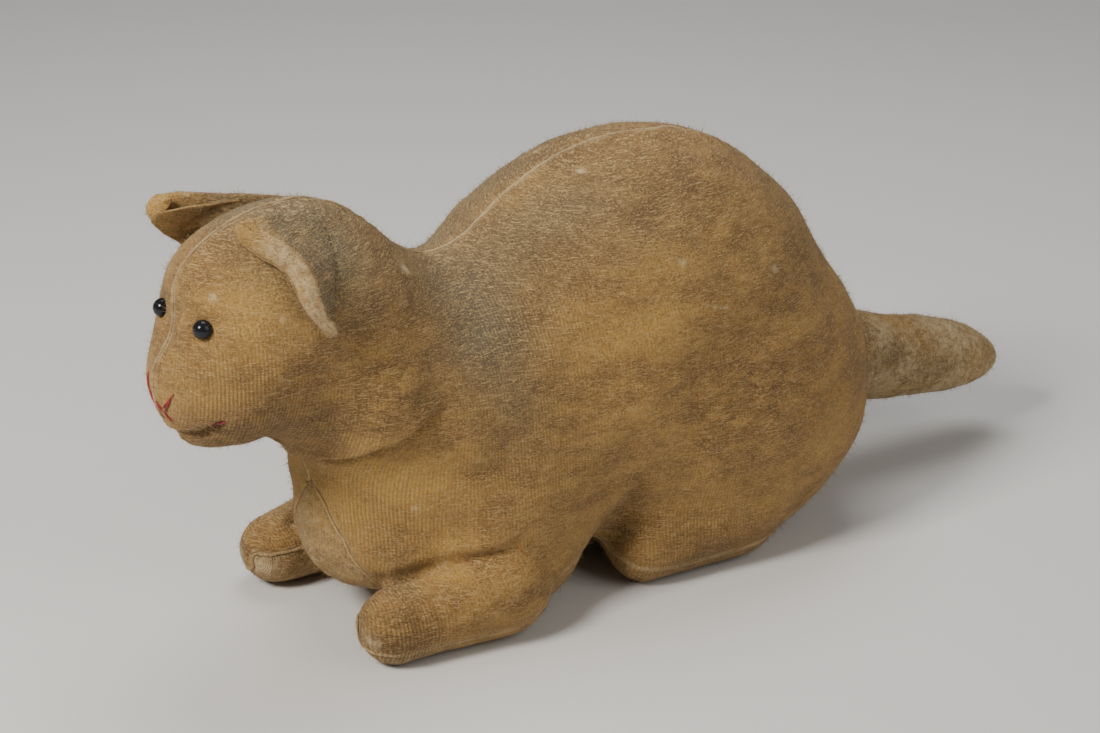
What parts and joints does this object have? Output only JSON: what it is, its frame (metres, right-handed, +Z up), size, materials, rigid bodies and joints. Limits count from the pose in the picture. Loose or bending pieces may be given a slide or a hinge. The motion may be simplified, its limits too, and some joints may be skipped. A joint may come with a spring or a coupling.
{
  "type": "plush cat",
  "caption": "Crouching stuffed toy cat in velveteen with folded ears, bead eyes, stitched nose and mouth, and a round drooping tail that turns at its root.",
  "frame": {"origin": "on the ground under the middle of the object's length and width", "axes": "-Y is the way the cat faces, +X is its left side, +Z is up"},
  "size_m": [0.1156, 0.3401, 0.1514],
  "materials": {
    "velveteen": "fine-waled velveteen, golden brown with grey soiling and pale worn seams",
    "ear_lining": "the same velveteen, less soiled",
    "stuffing": "matted plant fibre",
    "bead_glass": "black, polished",
    "red_thread": "twisted cotton, faded red",
    "sewing_thread": "twisted cotton, tan"
  },
  "bodies": {
    "cat_body": {"left_side_panel": "velveteen", "right_side_panel": "velveteen", "underbody_gusset": "velveteen", "head_stuffing": "stuffing", "body_stuffing": "stuffing", "left_foreleg_stuffing": "stuffing", "right_foreleg_stuffing": "stuffing", "left_hind_foot_stuffing": "stuffing", "right_hind_foot_stuffing": "stuffing", "left_eye_bead": "bead_glass", "right_eye_bead": "bead_glass", "eye_thread": "sewing_thread", "nose_stitches": "red_thread", "left_mouth_stitch": "red_thread", "right_mouth_stitch": "red_thread", "left_ear_root_stitches": "sewing_thread", "right_ear_root_stitches": "sewing_thread", "tail_root_stitches": "sewing_thread", "closing_stitches": "sewing_thread"},
    "left_ear": {"left_ear_outer": "velveteen", "left_ear_lining": "ear_lining"},
    "right_ear": {"right_ear_outer": "velveteen", "right_ear_lining": "ear_lining"},
    "tail_root": {"tail_root_stuffing": "stuffing"},
    "tail": {"tail_cover": "velveteen", "tail_stuffing": "stuffing"}
  },
  "joints": [
    {"name": "left_ear_fold", "type": "hinge", "parent": "cat_body", "child": "left_ear", "pos_m": [0.0276, -0.1177, 0.1324], "axis": [-0.6054, 0.2711, 0.7483], "range_deg": [0, 50], "stiffness_Nm_per_rad": 0.004},
    {"name": "right_ear_fold", "type": "hinge", "parent": "cat_body", "child": "right_ear", "pos_m": [-0.0276, -0.1177, 0.1324], "axis": [-0.6054, -0.2711, -0.7483], "range_deg": [-6, 35], "stiffness_Nm_per_rad": 0.004},
    {"name": "tail_wag", "type": "hinge", "parent": "cat_body", "child": "tail_root", "pos_m": [0.002, 0.1068, 0.0404], "axis": [0, 0, 1], "range_deg": [-20, 20], "stiffness_Nm_per_rad": 0.2},
    {"name": "tail_lift", "type": "hinge", "parent": "tail_root", "child": "tail", "pos_m": [0.002, 0.1068, 0.0404], "axis": [1, 0, 0], "range_deg": [-10, 20], "stiffness_Nm_per_rad": 0.2}
  ]
}
